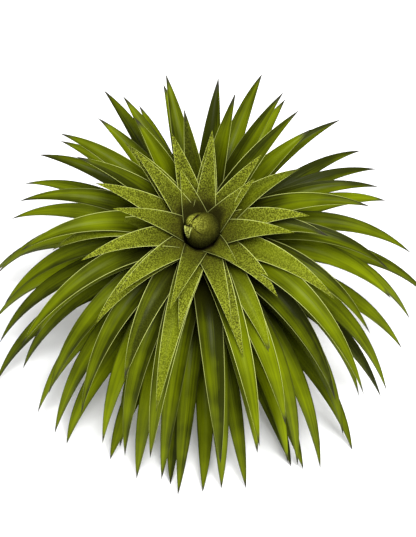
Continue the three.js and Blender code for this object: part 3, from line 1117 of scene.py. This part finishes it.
def root_tree(sizes):
    """The tree of the roots: each winds from the crown over the surface and thins to its end."""
    graph, size = sized_tree("wiry_roots", sizes)
    rows = 40
    tubes, index, row, ring = numbered_grids(graph, size.roots, rows, 13)
    stray = strays(index, size.seed)
    turn = FULL_TURN * (index / size.roots) + stray(*STRAY_ROOT_TURN)
    reach_share = 0.5 + stray(*STRAY_ROOT_REACH)
    reach = size.shortest + (size.longest - size.shortest) * reach_share
    cosine, sine = turn.by("COSINE"), turn.by("SINE")
    outward = graph.vector(cosine, sine, 0.0)
    aside = graph.vector(-sine, cosine, 0.0)
    start_height = size.crown_height / 2
    start_reach = 3 * MM
    landing = 0.3  # the share of its length after which a root lies on the surface

    def line(share):
        sway = size.sway * (FULL_TURN * (share + index / 3)).by("SINE") * share
        descent = (share / landing).by("MINIMUM", 1.0)
        height = start_height + (size.root_radius - start_height) * descent
        away = start_reach + (reach - start_reach) * share
        return outward * away + aside * sway + height * UP

    place = line(row)
    tangent = graph.unit(line(row + 0.01) - line(row - 0.01))
    side = graph.unit(graph.cross(tangent, UP))
    top = graph.cross(side, tangent)
    angle = ring * FULL_TURN
    lumps = graph.noise(place, 500.0)
    ends = (row * (rows - 1)).by("MINIMUM", 1.0) * ((1 - row) * (rows - 1)).by("MINIMUM", 1.0)
    radius = size.root_radius * (1 - 0.6 * row) * (0.75 + 0.5 * lumps) * ends
    point = place + side * (radius * angle.by("COSINE")) + top * (radius * angle.by("SINE"))
    return close_tree(graph, bent_grids(graph, tubes, point, 0.0), size.material)


def crown_mesh(sizes):
    """The root crown: a lumpy knob, flat underneath, that the stem ends in."""

    def spot(share, angle):
        taper = sizes.crown_radius - 0.8 * MM * share ** 2
        lump = 0.25 * MM * math.sin(5 * angle + 1.3) + 0.15 * MM * math.sin(11 * angle)
        radius = taper + lump * (1 - 0.5 * share) - 0.4 * MM
        return radius * math.cos(angle), radius * math.sin(angle), sizes.crown_height * share

    return tube_mesh(36, 10, spot, closed_end=True)


class AIRPLANT_OT_roots(bpy.types.Operator):
    """Make the root crown and the wiry roots"""

    bl_idname = "air_plant.roots"
    bl_label = "Make Roots"

    def execute(self, context):
        sizes = context.scene.air_plant_roots
        skin = wiry_root(context.scene.air_plant_colours)
        roots = plain_piece("wiry_roots", root_tree(sizes), sizes, skin)
        settle(roots, "root", "holdfast_roots")
        crown = mesh_piece("root_crown", skin, *crown_mesh(sizes))
        settle(crown, "root", "holdfast_roots")
        return {"FINISHED"}


# ---- The studio ----


def soft_light(name, place, target, size, power):
    """A round soft light that shines from its place at a target."""
    light = bpy.data.lights.new(name, "AREA")
    light.shape = "DISK"
    light.size = size
    light.energy = power
    lamp = shown(name, light)
    lamp.location = place
    lamp.rotation_euler = (Vector(target) - Vector(place)).to_track_quat("-Z", "Y").to_euler()


def aim_camera(settings):
    """The camera at the photo's viewing angle, with the bud's tip where the photo has it."""
    tilt = settings.elevation
    forward = Vector((0, math.cos(tilt), -math.sin(tilt)))
    up = Vector((0, math.sin(tilt), math.cos(tilt)))
    right = Vector(SIDEWAYS)
    pixels_per_metre = 4 / MM
    frame_width, frame_height = 416, 537
    tip_across, tip_down = 201, 228
    aside = (tip_across - frame_width / 2) / pixels_per_metre
    below = (tip_down - frame_height / 2) / pixels_per_metre
    place = CROWN - forward * settings.distance - right * aside + up * below
    data = bpy.data.cameras.new("camera")
    data.sensor_width = 36
    data.lens = pixels_per_metre * settings.distance * data.sensor_width / frame_height
    data.clip_start = 0.01
    data.clip_end = 20.0
    camera = shown("camera", data)
    facing = Matrix((right, up, -forward)).transposed().to_4x4()
    camera.matrix_world = Matrix.Translation(place) @ facing
    bpy.context.scene.camera = camera


class AIRPLANT_OT_studio(bpy.types.Operator):
    """Lay the pale floor, hang the soft light and place the camera"""

    bl_idname = "air_plant.studio"
    bl_label = "Set Up Studio"

    def execute(self, context):
        settings = context.scene.air_plant_studio
        reach = 4.0
        corners = [(-reach, -reach, 0), (reach, -reach, 0), (reach, reach, 0), (-reach, reach, 0)]
        mesh = bpy.data.meshes.new("studio_floor")
        mesh.from_pydata(corners, [], [(0, 1, 2, 3)])
        mesh.materials.append(pale_floor(settings))
        floor = shown("studio_floor", mesh)
        world = bpy.data.worlds.new("white_surroundings")
        world.use_nodes = True
        background = world.node_tree.nodes["Background"]
        background.inputs["Color"].default_value = (1.0, 1.0, 1.0, 1.0)
        background.inputs["Strength"].default_value = settings.surround
        context.scene.world = world
        above, plant_middle = (0.1, -0.36, 0.86), (0, 0, 0.03)
        soft_light("key_light", above, plant_middle, size=0.4, power=settings.key_power)
        context.scene.view_settings.view_transform = "Standard"
        aim_camera(settings)
        return {"FINISHED"}


class AIRPLANT_PT_panel(bpy.types.Panel):
    """The plant's pieces, in the sidebar of the 3D view"""

    bl_idname = "AIRPLANT_PT_panel"
    bl_label = "Air Plant"
    bl_space_type = "VIEW_3D"
    bl_region_type = "UI"
    bl_category = "Air Plant"

    def draw(self, context):
        for operator in OPERATORS:
            self.layout.operator(operator.bl_idname)


GROUPS = {
    "air_plant_leaves": LeafSizes,
    "air_plant_bud": BudSizes,
    "air_plant_stem": StemSizes,
    "air_plant_roots": RootSizes,
    "air_plant_colours": PlantColours,
    "air_plant_studio": StudioSettings,
}
OPERATORS = (
    AIRPLANT_OT_leaves,
    AIRPLANT_OT_bud,
    AIRPLANT_OT_stem,
    AIRPLANT_OT_roots,
    AIRPLANT_OT_studio,
)
CLASSES = (*GROUPS.values(), *OPERATORS, AIRPLANT_PT_panel)


def register():
    for kind in CLASSES:
        bpy.utils.register_class(kind)
    for name, group in GROUPS.items():
        setattr(bpy.types.Scene, name, bpy.props.PointerProperty(type=group))


def unregister():
    for name in GROUPS:
        delattr(bpy.types.Scene, name)
    for kind in reversed(CLASSES):
        bpy.utils.unregister_class(kind)


def main():
    register()
    bpy.ops.air_plant.leaves()
    bpy.ops.air_plant.bud()
    bpy.ops.air_plant.stem()
    bpy.ops.air_plant.roots()
    bpy.ops.air_plant.studio()


if __name__ == "__main__":
    main()
